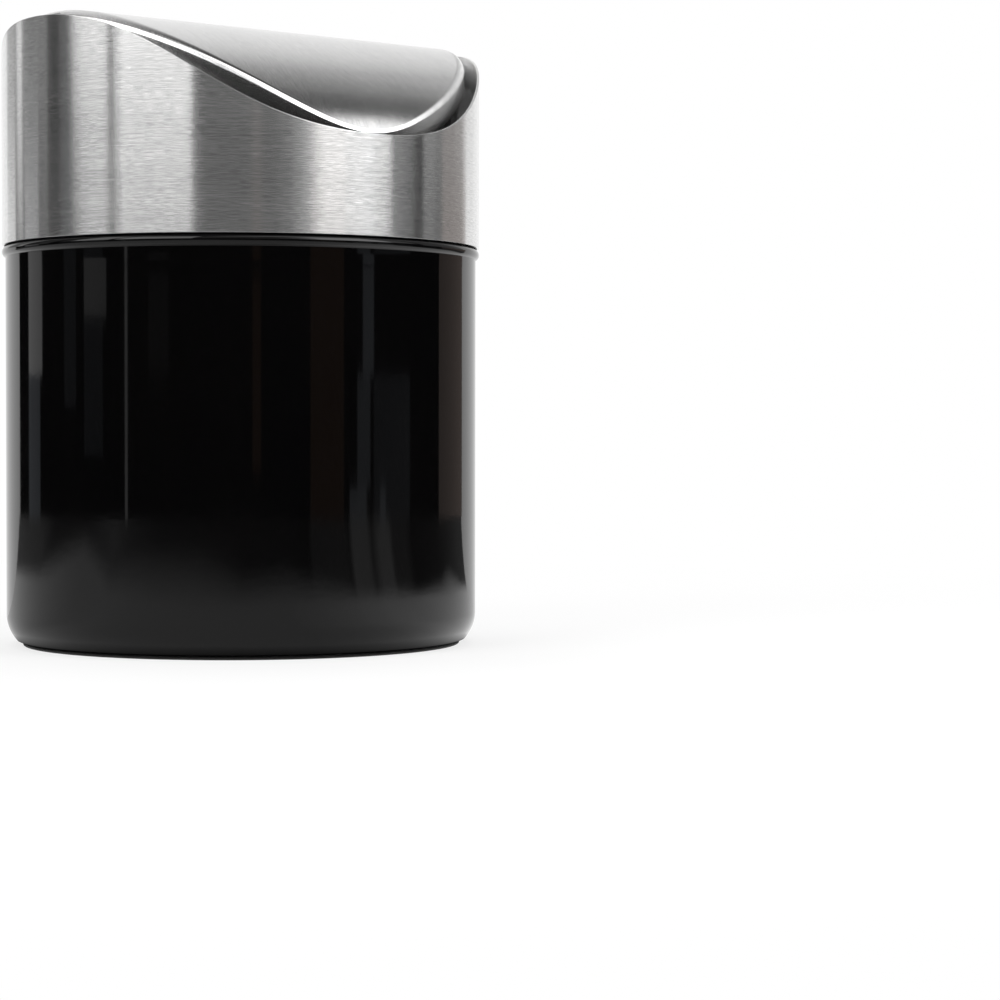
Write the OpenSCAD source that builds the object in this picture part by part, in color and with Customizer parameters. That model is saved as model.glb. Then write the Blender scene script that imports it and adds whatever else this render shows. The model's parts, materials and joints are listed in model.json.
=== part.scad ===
// Round countertop waste bin with a swing lid.
//
// A drawn can stands on a thin non-slip ring. A lid lifts off it: a steel collar, whose rim
// dips at the front and the back, and a plastic neck ring that plugs into the can's mouth.
// Two brackets inside the collar carry bushes, and an arched flap swings in them on two pins.
//
// Frame: origin on the standing surface under the middle of the can, +Z up. The flap turns
// about an axis along X, so the rim's peaks are at +X and -X and its dips at +Y and -Y.

/* [Can] */
// Outside diameter of the can's wall
can_d = 123.2; // [105:0.2:150]
// Height of the can, from the standing surface to the top of its rolled edge
can_h = 103.9; // [70:0.1:160]
// Sheet thickness of the can
can_wall = 0.6; // [0.4:0.1:1]
// Outside radius between the can's wall and its bottom
can_corner_r = 10.4; // [7:0.1:14]
// Depth by which the flat bottom cuts the corner's arc short
corner_cut = 3; // [1:0.1:4]
// Radius of the rolled edge round the can's mouth
can_bead_r = 1.5; // [1.2:0.1:2]
// Width of the flat ring that the bottom stands on
foot_w = 7; // [5:0.5:10]
// Height by which the middle of the bottom is pressed up
bottom_dish = 2; // [1:0.5:4]

/* [Base pad] */
// Thickness of the non-slip ring under the can
pad_h = 1; // [0.6:0.1:2]
// Distance from the can's bottom edge in to the pad's edge
pad_inset = 1.2; // [0.4:0.1:2]

/* [Collar] */
// Sheet thickness of the collar
collar_wall = 0.6; // [0.4:0.1:1]
// Height of the collar at its two peaks
collar_peak_h = 55.1; // [50:0.1:65]
// Height of the collar at its two dips
collar_dip_h = 25; // [20:0.1:30]
// How flat the rim is at its peaks: the power of the distance from the ridge line
rim_power = 2.1; // [1.8:0.05:2.4]
// How far the rim's slope bunches up midway between peak and dip
rim_bunch = 0.4; // [0:0.05:0.6]

/* [Neck ring] */
// Wall thickness of the plastic neck ring
ring_wall = 1.6; // [1.2:0.1:2]
// Length that plugs into the can's mouth
plug_h = 17; // [10:0.5:25]
// Height of the flange that rests on the can's rolled edge
flange_h = 2; // [1.5:0.1:3]
// Height of the band that stands up inside the collar
band_h = 12; // [10:0.5:16]
// Gap between the plug and the can's wall
plug_gap = 0.4; // [0.3:0.05:0.6]
// How far the ribs stand out of the plug
rib_h = 0.25; // [0.15:0.05:0.25]
// Width of one rib
rib_w = 2; // [1:0.5:3]
// Number of ribs round the plug
rib_count = 12; // [6:1:24]

/* [Brackets] */
// Sheet thickness of the pivot brackets
bracket_t = 1.2; // [0.8:0.1:1.4]
// Width of a bracket
bracket_w = 14; // [12:0.5:18]
// Height of a bracket's top above the pivot axis
bracket_over = 4; // [3.8:0.1:4.4]
// Radius of the bracket rivets' shanks
rivet_r = 1.5; // [1:0.1:2]
// Radius of the bracket rivets' heads
rivet_head_r = 2.6; // [2.3:0.1:3]
// Height of the bracket rivets' heads
rivet_head_h = 0.7; // [0.5:0.1:0.9]
// Distance between a bracket's two rivets, across the bracket
rivet_pitch = 7; // [6:0.5:8]

/* [Bushes] */
// Outside radius of a bush's barrel
bush_r = 2.9; // [2.7:0.1:3.2]
// Radius of a bush's flange
bush_flange_r = 4.2; // [3.8:0.1:4.6]
// Thickness of a bush's flange
bush_flange_t = 1; // [0.6:0.1:1.1]

/* [Flap] */
// Sheet thickness of the flap
flap_sheet = 0.6; // [0.4:0.1:1]
// Half the width of the ellipse that the flap is arched along
arch_w = 62.2; // [60.5:0.1:75]
// Half the height of the ellipse that the flap is arched along
arch_h = 46.6; // [40:0.1:52]
// Height of the flap's ridge above the collar's peaks
ridge_rise = 1.9; // [1:0.1:4]
// Depth of the skirt that turns down round the flap
skirt_h = 6.5; // [5:0.1:7.5]
// Gap between the flap's skirt and the brackets
flap_gap = 0.5; // [0.4:0.1:1]

/* [Pivot] */
// Depth of the pivot axis under the flap's ridge
pivot_drop = 7; // [6.8:0.1:8]
// Radius of a pivot pin
pin_r = 2; // [1.6:0.1:2.1]
// Running gap between a pin and its bush
pin_gap = 0.05; // [0.02:0.01:0.08]
// Radius of the pin's riveted tail
tail_r = 1.4; // [1:0.1:1.5]
// Radius of the pin's riveted head
tail_head_r = 2.6; // [2:0.1:3]
// Height of the pin's riveted head
tail_head_h = 1.2; // [0.8:0.1:1.5]
// Gap between the skirt's notch and the pin
notch_gap = 0.5; // [0.3:0.1:1]

/* [Hinge plates] */
// Thickness of the plates that carry the pins inside the flap
plate_t = 1.2; // [0.8:0.1:1.6]
// Width of a plate
plate_w = 14; // [10:0.5:16]
// Depth of a plate under the pivot axis
plate_under = 5; // [4:0.1:6]

/* [Fits] */
// Gap between pieces that are pressed, riveted or welded together
seat_gap = 0.03; // [0.02:0.01:0.05]
// Gap between the collar's lower edge and the can's rolled edge
lid_gap = 0.15; // [0.1:0.05:0.3]

/* [Hidden] */
$fn = 96;
// Length added to a cutting shape so that it passes right through
over = 1;
// Steps of the rim's curve from one side of the collar to the other
rim_steps = 60;

can_r = can_d / 2;
can_bore_r = can_r - can_wall;
// Centre of the corner's arc, which the flat bottom cuts off before the arc runs level
corner_x = can_r - can_corner_r;
bottom_z = pad_h;
corner_z = bottom_z + can_corner_r - corner_cut;
bottom_edge_r = corner_x + sqrt(pow(can_corner_r, 2) - pow(corner_z - bottom_z, 2));
dish_r = bottom_edge_r - foot_w;

// The collar runs flush with the can's rolled edge
collar_r = can_bore_r + can_bead_r;
collar_bore_r = collar_r - collar_wall;
collar_z = can_h + lid_gap;
peak_z = collar_z + collar_peak_h;
rim_drop = collar_peak_h - collar_dip_h;

plug_r = can_bore_r - plug_gap;
ring_bore_r = plug_r - ring_wall;
flange_z = can_h + lid_gap;
band_z = flange_z + flange_h;
band_r = collar_bore_r - seat_gap;
band_bore_r = band_r - ring_wall;

bracket_r = band_bore_r - seat_gap;
bracket_bore_r = bracket_r - bracket_t;
rivet_z = band_z + band_h / 2;

flap_r = bracket_bore_r - flap_gap;
skirt_bore_r = flap_r - flap_sheet;
ridge_z = peak_z + ridge_rise;
arch_z = ridge_z - arch_h;
pivot_z = ridge_z - pivot_drop;

plate_r = skirt_bore_r - seat_gap;
plate_bore_r = plate_r - plate_t;
bush_bore_r = pin_r + pin_gap;

// Height of the rim over the collar's lower edge, at a distance y from the line of the peaks
function rim_share(y) = pow(min(abs(y), collar_r) / collar_r, rim_power);
function rim_fall(s) = rim_drop * (s + rim_bunch * s * (1 - s) * (2 * s - 1));
function rim_h(y) = collar_peak_h - rim_fall(rim_share(y));

// Height of the arch's inside over the ellipse's centre, at a distance y from the ridge line
function arch_inside(y) = (arch_h - flap_sheet) * sqrt(1 - pow(y / (arch_w - flap_sheet), 2));

// Ring between two radii, standing on z
module ring(r_out, r_in, z, h) {
    translate([0, 0, z])
        difference() {
            cylinder(r = r_out, h = h);
            translate([0, 0, -over])
                cylinder(r = r_in, h = h + 2 * over);
        }
}

// Rod along X on the pivot axis, from x to x + length
module axis_rod(r, x, length) {
    translate([x, 0, pivot_z])
        rotate([0, 90, 0])
            cylinder(r = r, h = length);
}

// The can's outline in section, drawn in by a sheet's thickness for its inside
module can_outline(inset) {
    floor_z = bottom_z + inset;
    difference() {
        union() {
            translate([0, corner_z])
                square([can_r - inset, can_h - corner_z]);
            translate([0, floor_z])
                square([corner_x, corner_z - floor_z]);
            intersection() {
                translate([corner_x, corner_z])
                    circle(r = can_corner_r - inset);
                translate([corner_x, floor_z])
                    square([can_corner_r, corner_z - floor_z]);
            }
        }
        translate([-over, bottom_z - over])
            square([dish_r + inset + over, bottom_dish + inset + over]);
    }
}

module can_bead() {
    intersection() {
        translate([can_bore_r, can_h - can_bead_r])
            circle(r = can_bead_r);
        translate([can_bore_r, can_h - 2 * can_bead_r])
            square([can_bead_r, 2 * can_bead_r]);
    }
}

module can_shell() {
    color([0.02, 0.02, 0.022])
        rotate_extrude() {
            difference() {
                can_outline(0);
                can_outline(can_wall);
                translate([0, can_h - over])
                    square([can_bore_r, 2 * over]);
            }
            can_bead();
        }
}

module base_pad() {
    color([0.05, 0.05, 0.05])
        ring(bottom_edge_r - pad_inset, dish_r + pad_inset, 0, bottom_z);
}

// Everything under the collar's rim
module under_rim() {
    ys = [for (i = [0 : rim_steps]) collar_r * (2 * i / rim_steps - 1)];
    translate([0, 0, collar_z])
        rotate([90, 0, 90])
            linear_extrude(height = 2 * (collar_r + over), center = true)
                polygon(concat(
                    [[-collar_r, -over]],
                    [for (y = ys) [y, rim_h(y)]],
                    [[collar_r, -over]]
                ));
}

module lid_collar() {
    color([0.72, 0.72, 0.72])
        intersection() {
            ring(collar_r, collar_bore_r, collar_z, collar_peak_h);
            under_rim();
        }
}

// Holes or shanks of the two rivets that hold one bracket, pointing along +X
module rivet_pair(r, x, length) {
    for (y = [-rivet_pitch / 2, rivet_pitch / 2])
        translate([x, y, rivet_z])
            rotate([0, 90, 0])
                cylinder(r = r, h = length);
}

module rivet_holes() {
    hole_x = bracket_bore_r - over;
    for (side = [0, 180])
        rotate([0, 0, side])
            rivet_pair(rivet_r + seat_gap, hole_x, collar_bore_r - hole_x);
}

module neck_ring() {
    color([0.08, 0.08, 0.085])
        difference() {
            union() {
                ring(plug_r, ring_bore_r, flange_z - plug_h, plug_h + flange_h);
                ring(band_r, ring_bore_r, flange_z, flange_h);
                ring(band_r, band_bore_r, flange_z, flange_h + band_h);
                for (i = [0 : rib_count - 1])
                    rotate([0, 0, 360 * (i + 0.5) / rib_count])
                        plug_rib();
            }
            rivet_holes();
        }
}

// One upright rib, sunk into the plug's wall
module plug_rib() {
    translate([plug_r - ring_wall / 2, -rib_w / 2, flange_z - plug_h])
        cube([ring_wall / 2 + rib_h, rib_w, plug_h]);
}

// Curved strip that rises from the neck ring's flange to the pivot, on the +X side
module bracket() {
    color([0.6, 0.6, 0.6])
        difference() {
            intersection() {
                ring(bracket_r, bracket_bore_r, band_z, pivot_z + bracket_over - band_z);
                translate([0, -bracket_w / 2, band_z])
                    cube([collar_r, bracket_w, pivot_z + bracket_over - band_z]);
            }
            axis_rod(bush_r + seat_gap, bracket_bore_r - over, 2 * bracket_t + over);
            rivet_holes();
        }
}

module bracket_left() {
    mirror([1, 0, 0]) bracket();
}

module bracket_right() {
    bracket();
}

// Two rivets with flat heads inside the bracket, ending just inside the band's curved face
module bracket_rivets() {
    head_x = bracket_bore_r - rivet_head_h - seat_gap;
    tail_x = sqrt(pow(band_r, 2) - pow(rivet_pitch / 2 + rivet_r, 2)) - seat_gap;
    color([0.55, 0.55, 0.55])
        for (side = [0, 180])
            rotate([0, 0, side]) {
                rivet_pair(rivet_r, head_x, tail_x - head_x);
                rivet_pair(rivet_head_r, head_x - rivet_head_h, rivet_head_h);
            }
}

// Flanged plastic bush, pushed into the +X bracket from its outside
module bush() {
    color([0.85, 0.85, 0.83])
        difference() {
            union() {
                axis_rod(bush_r, bracket_bore_r, bracket_r - bracket_bore_r + seat_gap);
                axis_rod(bush_flange_r, bracket_r + seat_gap, bush_flange_t);
            }
            axis_rod(bush_bore_r, bracket_bore_r - over, collar_r - bracket_bore_r);
        }
}

module bush_left() {
    mirror([1, 0, 0]) bush();
}

module bush_right() {
    bush();
}

// Solid arch over the flap's round outline, drawn in by a sheet's thickness for its inside
module flap_block(inset) {
    intersection() {
        translate([0, 0, arch_z])
            cylinder(r = flap_r - inset, h = arch_h);
        arch_bar(inset, 0);
    }
}

// Oval bar along X whose top is the flap's arch, drawn in by inset and lowered by drop
module arch_bar(inset, drop) {
    half_w = arch_w - inset;
    half_h = arch_h - inset;
    translate([-collar_r, 0, arch_z - drop])
        scale([1, 1, half_h / half_w])
            rotate([0, 90, 0])
                cylinder(r = half_w, h = 2 * collar_r);
}

module flap_panel() {
    color([0.74, 0.74, 0.74])
        difference() {
            flap_block(0);
            flap_block(flap_sheet);
            arch_bar(0, skirt_h);
            axis_rod(pin_r + notch_gap, -collar_r, 2 * collar_r);
        }
}

// Curved plate welded inside the skirt's +X end, with a hole for the pin's tail
module hinge_plate() {
    plate_top_z = arch_z + arch_inside(plate_w / 2) - seat_gap;
    plate_z = pivot_z - plate_under;
    color([0.6, 0.6, 0.6])
        difference() {
            intersection() {
                ring(plate_r, plate_bore_r, plate_z, plate_top_z - plate_z);
                translate([0, -plate_w / 2, plate_z])
                    cube([collar_r, plate_w, plate_top_z - plate_z]);
            }
            axis_rod(tail_r + seat_gap, plate_bore_r - over, 2 * plate_t + over);
        }
}

module hinge_plate_left() {
    mirror([1, 0, 0]) hinge_plate();
}

module hinge_plate_right() {
    hinge_plate();
}

// Shouldered pin, riveted into the +X hinge plate and running in its bush
module pin() {
    shoulder_x = plate_r + seat_gap;
    head_x = sqrt(pow(plate_bore_r, 2) - pow(tail_head_r, 2)) - seat_gap - tail_head_h;
    pin_end_x = bracket_r + bush_flange_t;
    color([0.7, 0.7, 0.7]) {
        axis_rod(pin_r, shoulder_x, pin_end_x - shoulder_x);
        axis_rod(tail_r, head_x, shoulder_x - head_x);
        axis_rod(tail_head_r, head_x, tail_head_h);
    }
}

module pin_left() {
    mirror([1, 0, 0]) pin();
}

module pin_right() {
    pin();
}

can_shell();
base_pad();
lid_collar();
neck_ring();
bracket_left();
bracket_right();
bracket_rivets();
bush_left();
bush_right();
flap_panel();
hinge_plate_left();
hinge_plate_right();
pin_left();
pin_right();
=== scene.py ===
import json
from math import asin, atan2, ceil, cos, degrees, hypot, pi, radians, sin, sqrt

import bmesh
import bpy
from mathutils import Matrix, Vector


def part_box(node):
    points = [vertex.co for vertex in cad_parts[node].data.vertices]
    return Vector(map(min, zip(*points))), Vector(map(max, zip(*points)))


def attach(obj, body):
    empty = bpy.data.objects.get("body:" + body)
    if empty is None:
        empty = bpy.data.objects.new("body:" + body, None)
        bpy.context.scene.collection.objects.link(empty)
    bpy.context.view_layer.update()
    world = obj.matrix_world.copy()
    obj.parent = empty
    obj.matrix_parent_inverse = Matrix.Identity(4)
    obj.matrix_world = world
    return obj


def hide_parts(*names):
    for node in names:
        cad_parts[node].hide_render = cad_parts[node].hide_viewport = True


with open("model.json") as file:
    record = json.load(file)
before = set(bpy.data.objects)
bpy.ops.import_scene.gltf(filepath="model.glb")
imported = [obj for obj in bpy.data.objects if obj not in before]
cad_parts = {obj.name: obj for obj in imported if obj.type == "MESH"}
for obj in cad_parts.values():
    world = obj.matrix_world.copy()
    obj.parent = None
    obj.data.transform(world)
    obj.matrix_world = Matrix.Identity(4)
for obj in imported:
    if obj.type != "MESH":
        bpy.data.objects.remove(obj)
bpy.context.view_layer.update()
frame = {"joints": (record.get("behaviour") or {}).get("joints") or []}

MM = 0.001

# A small round countertop bin: a black enamelled can, a lift-off collar of brushed steel on a
# black neck ring, and an arched steel flap that swings on two pins. Sizes are in millimetres
# and turns in degrees, unless a comment says otherwise. A height is over the standing surface.

# ---------------------------------------------------------------------------
# Sizes, in millimetres, taken from the frame where a node's box gives them
# ---------------------------------------------------------------------------


def node_mm(node):
    """Lowest and highest corners of a CAD node, in millimetres."""
    low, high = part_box(node)
    return [value / MM for value in low], [value / MM for value in high]


SHELL_LOW, SHELL_HIGH = node_mm("can_shell")
PAD_LOW, PAD_HIGH = node_mm("base_pad")
COLLAR_LOW, COLLAR_HIGH = node_mm("lid_collar")
FLAP_HIGH = node_mm("flap_panel")[1]

SHEET = 0.6                       # thickness of the can, the collar and the flap
AXIS_R = 0.02                     # radius of the pinhole left where a section meets its axis
CLEAR = 0.03                      # gap between pieces that stand against each other
MOULD_SOFT = 0.15                 # broken edges of the neck ring
SMALL_SOFT = 0.12                 # broken edges of the brackets, the plates and the bushes

# The can
CAN_R = 61.6
CAN_TOP = SHELL_HIGH[2]
CAN_BOTTOM = SHELL_LOW[2]
WALL_ROWS = 24
BEAD_R = 1.5                      # the rolled edge round the mouth
BEAD_END = -52                    # turn in the section at which the rolled edge ends
FILLET_R = 0.25                   # the fillet between the rolled edge and the wall
FILLET_DROP = 0.05
CORNER_R = 10.4                   # the round corner at the bottom
CORNER_CUT = 3.0                  # how much of the corner the flat foot cuts off
EDGE_R = 0.35                     # the small round from the corner to the foot
EDGE_IN = 0.55
EDGE_TURN = 3                     # degrees of the corner that the small round takes up
FOOT_W = 7.0                      # width of the foot round the pressed-up bottom
FOOT_BEVEL = 0.6
DISH_H = 2.0                      # height of the pressed-up bottom
DISH_BEVEL = 0.4
INNER_BEVEL = 0.2
PAD_W = 4.6                       # width of the non-slip ring
PAD_SOFT = 0.2

# The collar
COLLAR_R = COLLAR_HIGH[0]
COLLAR_Z = COLLAR_LOW[2]
PEAK_Z = COLLAR_HIGH[2]
COLLAR_DIP_H = 25.0               # height of the wall where the rim is lowest
COLLAR_ROWS = 30
COLLAR_SOFT = 0.04                # size of the broken edges
COLLAR_TIGHT = 0.12               # distance of the rows that keep the wall's shading straight
RIM_POWER = 2.1                   # how late the rim falls away from its peaks
RIM_BUNCH = 0.4                   # how much of the fall is bunched halfway down

# The flap
FLAP_R = FLAP_HIGH[0]
RIDGE_Z = FLAP_HIGH[2]
ARCH_W = 62.2                     # half the width of the ellipse that the arch follows
ARCH_H = 46.6                     # half its height
ARCH_ROWS = 30
ARCH_BUNCH = 0.8                  # below 1, bunches the arch's rows towards the bend
BEND_R = 2.9                      # the bend between the arch and the skirt
BEND_ROWS = 14
SKIRT_H = 6.5
SKIRT_ROWS = 4
PIVOT_Z = next(j for j in frame["joints"] if j["name"] == "flap_swing")["pos_m"][2] / MM
NOTCH_R = 2.5                     # the skirt's notches over the pins

# The neck ring: a plug in the can's mouth, a flange, and a band inside the collar
PLUG_R = 60.6
PLUG_BORE_R = 59.0
PLUG_H = 17.0
PLUG_LEAD_W = 0.5
PLUG_LEAD_H = 1.5
FLANGE_H = 2.0
BAND_R = 61.87
BAND_BORE_R = 60.27
BAND_H = 12.0
BAND_TOP = COLLAR_Z + FLANGE_H + BAND_H
RIB_COUNT = 12                    # upright ribs round the plug
RIB_W = 2.0
RIB_H = 0.25
RIB_FLANK = 0.35                  # width of a rib's sloping side

# The lid's brackets, which carry the bushes, and the flap's plates, which carry the pins
BRACKET_R = 60.24
BRACKET_OVER = 4.0                # how far a bracket rises over its pivot
PLATE_R = FLAP_R - SHEET - CLEAR
PLATE_T = 1.2                     # thickness of brackets and plates
PLATE_W = 14.0
PLATE_CORNER = 1.5
PLATE_UNDER = 5.0                 # how far a plate reaches under its pivot
PLATE_ROWS = 16
RIVET_R = 1.5
RIVET_Y = 3.5                     # how far a rivet is from the middle of its bracket
RIVET_HEAD_R = 2.6
RIVET_HEAD_IN = 1.43              # how far the head's top is inside the bracket's inner face
RIVET_DOME_H = 0.7
RIVET_SEAT = 0.4                  # how far the head's seat is inside that face
BUSH_R = 2.9
BUSH_FLANGE_R = 4.2
BUSH_FLANGE_T = 1.0
PIN_R = 2.0
PIN_PLAY = 0.05                   # gap between a pin and its bush
PIN_OUT = 1.0                     # how far a pin reaches past its bracket
PIN_SHOULDER = 0.15               # bevels at the two ends of a pin
PIN_BEVEL = 0.25
TAIL_R = 1.4                      # the pin's tail, riveted into its plate
TAIL_HEAD_R = 2.6
TAIL_HEAD_H = 1.2
TAIL_RIM = 0.2

AROUND = 384                      # steps round the can and the collar
FLAP_AROUND = 720                 # steps round the flap, fine enough for its pin notches
RING_AROUND = 960                 # steps round the neck ring, fine enough for its ribs
SMALL_AROUND = 48                 # steps round the rivets, the bushes and the pins

# ---------------------------------------------------------------------------
# Mesh helpers
# ---------------------------------------------------------------------------


def placed(name, data):
    """New object with this data, linked to the scene."""
    obj = bpy.data.objects.new(name, data)
    bpy.context.scene.collection.objects.link(obj)
    return obj


def new_object(name, points, faces, uvs=None):
    """Smooth-shaded mesh object from points in millimetres and a UV per point in metres."""
    mesh = bpy.data.meshes.new(name)
    mesh.from_pydata([[c * MM for c in p] for p in points], [], faces)
    mesh.polygons.foreach_set("use_smooth", [True] * len(mesh.polygons))
    if uvs:
        layer = mesh.uv_layers.new(name="brush")
        for polygon, corner_uvs in zip(mesh.polygons, uvs):
            for loop_index, uv in zip(polygon.loop_indices, corner_uvs):
                layer.data[loop_index].uv = uv
    mesh.validate()
    shape = bmesh.new()
    shape.from_mesh(mesh)
    bmesh.ops.recalc_face_normals(shape, faces=shape.faces)
    shape.to_mesh(mesh)
    shape.free()
    mesh.update()
    return placed(name, mesh)


def closed_sheet(name, rows, around, place):
    """Closed band of quads: rows of points, each row running once round the object.

    place(row, angle) gives a point. UVs run round the object in u, as lengths at the collar's
    radius, and across the rows in v, as real lengths. Both are in metres, so that brush marks
    keep their scale.
    """
    points = []
    for row in rows:
        for step in range(around):
            points.append(place(row, 2 * pi * step / around))
    count = len(rows)
    faces = []
    uvs = []
    v_at = [[0.0] * (around + 1) for _ in range(count + 1)]
    for r in range(1, count + 1):
        for s in range(around + 1):
            here = points[(r % count) * around + s % around]
            before = points[(r - 1) * around + s % around]
            v_at[r][s] = v_at[r - 1][s] + (Vector(here) - Vector(before)).length * MM
    for r in range(count):
        nxt = (r + 1) % count
        for s in range(around):
            s2 = (s + 1) % around
            faces.append((r * around + s, r * around + s2, nxt * around + s2, nxt * around + s))
            u0 = 2 * pi * s / around * COLLAR_R * MM
            u1 = 2 * pi * (s + 1) / around * COLLAR_R * MM
            uvs.append((
                (u0, v_at[r][s]), (u1, v_at[r][s + 1]),
                (u1, v_at[r + 1][s + 1]), (u0, v_at[r + 1][s]),
            ))
    return new_object(name, points, faces, uvs)


def arc(cx, cz, radius, start, end, steps):
    """Points of an arc in an (r, z) section, angles in degrees from +r."""
    return [
        (
            cx + radius * cos(radians(start + (end - start) * i / steps)),
            cz + radius * sin(radians(start + (end - start) * i / steps)),
        )
        for i in range(steps + 1)
    ]


def lathe(name, section):
    """Turns a closed (r, z) section round the Z axis."""
    def place(row, angle):
        return (row[0] * cos(angle), row[0] * sin(angle), row[1])
    return closed_sheet(name, section, AROUND, place)


def softened(corners, soft):
    """Closed section with its corners broken, and a row on each side that keeps it straight."""
    limit = 0.15                  # share of a side that one broken corner may take
    section = []
    for i, (x, z) in enumerate(corners):
        before = corners[i - 1]
        after = corners[(i + 1) % len(corners)]
        for (far_x, far_z), steps in ((before, (3, 1)), (after, (1, 3))):
            length = hypot(far_x - x, far_z - z)
            for step in steps:
                share = min(soft * step / length, limit * step)
                section.append((x + (far_x - x) * share, z + (far_z - z) * share))
    return section


def turned(profiles, side):
    """Points and faces of closed (x, r) profiles, each turned round a line along X.

    profiles holds (profile, y, z) with the line's place; side is 1 for +X and -1 for -X.
    """
    around = SMALL_AROUND
    points = []
    faces = []
    for profile, y, z in profiles:
        first = len(points)
        count = len(profile)
        for x, r in profile:
            for s in range(around):
                angle = 2 * pi * s / around
                points.append((side * x, side * (y + r * cos(angle)), z + r * sin(angle)))
        for row in range(count):
            nxt = (row + 1) % count
            for s in range(around):
                s2 = (s + 1) % around
                faces.append((first + row * around + s, first + row * around + s2,
                              first + nxt * around + s2, first + nxt * around + s))
    return points, faces


# ---------------------------------------------------------------------------
# Materials
# ---------------------------------------------------------------------------


class Nodes:
    """Short names for building a node tree."""

    def __init__(self, tree):
        self.tree = tree

    def add(self, kind, **values):
        """New node; a value is one of its settings or, with _ for a space, one of its inputs."""
        node = self.tree.nodes.new(kind)
        for key, value in values.items():
            if hasattr(node, key):
                setattr(node, key, value)
            else:
                node.inputs[key.replace("_", " ")].default_value = value
        return node

    def link(self, source, target):
        self.tree.links.new(source, target)


class Surface(Nodes):
    """Short names for building a material round its shader."""

    def __init__(self, name):
        self.material = bpy.data.materials.new(name)
        self.material.use_nodes = True
        super().__init__(self.material.node_tree)
        self.shader = self.tree.nodes["Principled BSDF"]

    def coords(self, output, scale):
        """Texture coordinates scaled along each axis; output is Object or UV."""
        source = self.add("ShaderNodeTexCoord")
        mapping = self.add("ShaderNodeMapping", Scale=scale)
        self.link(source.outputs[output], mapping.inputs["Vector"])
        return mapping.outputs["Vector"]

    def noise(self, vector, scale=1.0, detail=2.0, rough=0.5):
        node = self.add("ShaderNodeTexNoise", Scale=scale, Detail=detail, Roughness=rough)
        self.link(vector, node.inputs["Vector"])
        return node.outputs["Fac"]

    def spread(self, value, low, high, from_low=0.3, from_high=0.7):
        """Noise that runs between from_low and from_high, spread out between low and high."""
        node = self.add("ShaderNodeMapRange", From_Min=from_low, From_Max=from_high,
                        To_Min=low, To_Max=high)
        self.link(value, node.inputs["Value"])
        return node.outputs["Result"]

    def mixed(self, first, second, share):
        """Two values mixed, with the second's share."""
        node = self.add("ShaderNodeMix", data_type="FLOAT")
        node.inputs[0].default_value = share
        self.link(first, node.inputs[2])
        self.link(second, node.inputs[3])
        return node.outputs[0]

    def colour(self, factor, low, high):
        """Colours the surface from low to high by a factor."""
        node = self.add("ShaderNodeMix", data_type="RGBA")
        node.inputs[6].default_value = (*low, 1.0)
        node.inputs[7].default_value = (*high, 1.0)
        self.link(factor, node.inputs[0])
        self.link(node.outputs[2], self.shader.inputs["Base Color"])

    def roughen(self, noise, low, high):
        self.link(self.spread(noise, low, high), self.shader.inputs["Roughness"])

    def bump(self, height, strength, distance_mm):
        node = self.add("ShaderNodeBump", Strength=strength, Distance=distance_mm * MM)
        self.link(height, node.inputs["Height"])
        self.link(node.outputs["Normal"], self.shader.inputs["Normal"])


# Scales of the brush marks' noise, along and across the brushing, in cells per metre
BRUSH_FINE = (380.0, 5400.0, 1.0)
BRUSH_COARSE = (70.0, 3000.0, 1.0)
BRUSH_DRIFT = (18.0, 90.0, 1.0)
BRUSH_GROOVES = (25.0, 6000.0, 1.0)
COARSE_SHARE = 0.3
DRIFT_SHARE = 0.15


def brushed_steel(name, low, high, rough_low, rough_high):
    """Stainless sheet with short fine brush marks that run along u of the brush UVs."""
    m = Surface(name)
    fine = m.noise(m.coords("UV", BRUSH_FINE), rough=0.6)
    coarse = m.noise(m.coords("UV", BRUSH_COARSE))
    drift = m.noise(m.coords("UV", BRUSH_DRIFT))
    grooves = m.noise(m.coords("UV", BRUSH_GROOVES), detail=1.0)
    marks = m.mixed(m.mixed(fine, coarse, COARSE_SHARE), drift, DRIFT_SHARE)
    m.colour(m.spread(marks, 0.0, 1.0, from_low=0.33, from_high=0.67), low, high)
    m.roughen(marks, rough_low, rough_high)
    m.shader.inputs["Metallic"].default_value = 1.0
    m.shader.inputs["Anisotropic"].default_value = 1.0
    m.shader.inputs["Anisotropic Rotation"].default_value = 0.25
    tangent = m.add("ShaderNodeTangent", direction_type="UV_MAP", uv_map="brush")
    m.link(tangent.outputs["Tangent"], m.shader.inputs["Tangent"])
    m.bump(grooves, strength=0.14, distance_mm=0.02)
    return m.material


def black_enamel():
    """Baked gloss enamel with a slight orange peel."""
    m = Surface("black_enamel")
    peel = m.noise(m.coords("Object", (0.6, 0.6, 1.5)), scale=420.0)
    cloud = m.noise(m.coords("Object", (1.0, 1.0, 0.35)), scale=60.0, detail=3.0)
    m.colour(cloud, (0.0010, 0.0010, 0.0012), (0.0018, 0.0016, 0.0016))
    m.roughen(cloud, 0.035, 0.07)
    m.shader.inputs["IOR"].default_value = 1.38
    m.bump(peel, strength=0.25, distance_mm=0.012)
    return m.material


def satin_plastic(name, low, high, rough_low, rough_high):
    """Moulded plastic or rubber with a fine grain."""
    m = Surface(name)
    grain = m.noise(m.coords("Object", (1.0, 1.0, 1.0)), scale=2600.0, detail=3.0)
    cloud = m.noise(m.coords("Object", (1.0, 1.0, 1.0)), scale=90.0)
    m.colour(cloud, low, high)
    m.roughen(cloud, rough_low, rough_high)
    m.bump(grain, strength=0.3, distance_mm=0.03)
    return m.material


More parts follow.
